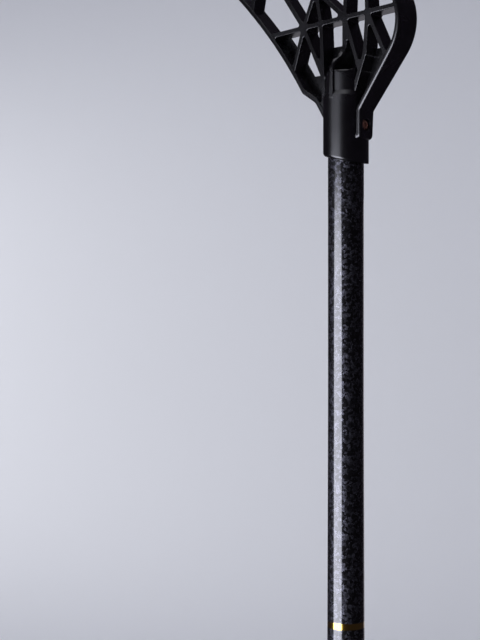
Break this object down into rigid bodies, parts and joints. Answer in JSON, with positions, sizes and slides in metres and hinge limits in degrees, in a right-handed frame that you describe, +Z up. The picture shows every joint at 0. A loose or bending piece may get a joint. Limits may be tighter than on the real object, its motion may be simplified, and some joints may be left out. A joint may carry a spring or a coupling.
{
  "type": "floorball stick",
  "caption": "Floorball stick: tapered composite shaft with a wrapped grip and end cap, and a moulded open-lattice blade with a hooked toe, screwed onto its tip.",
  "frame": {"origin": "middle of the flat face of the butt end", "axes": "+Z up the shaft to the blade, +X towards the heel (the toe is on -X), +Y the side the toe hooks to"},
  "size_m": [0.253, 0.0403, 1.1397],
  "materials": {
    "blade": "satin moulded",
    "blade_screw": "dark zinc plated",
    "shaft": "clear-coated forged carbon, marbled grey on black",
    "grip": "matt perforated wrap",
    "grip_band": "vinyl tape",
    "end_cap": "satin moulded"
  },
  "bodies": {
    "root": {"blade": "blade", "blade_screw": "blade_screw", "shaft": "shaft", "grip": "grip", "grip_band": "grip_band", "end_cap": "end_cap"}
  },
  "joints": []
}
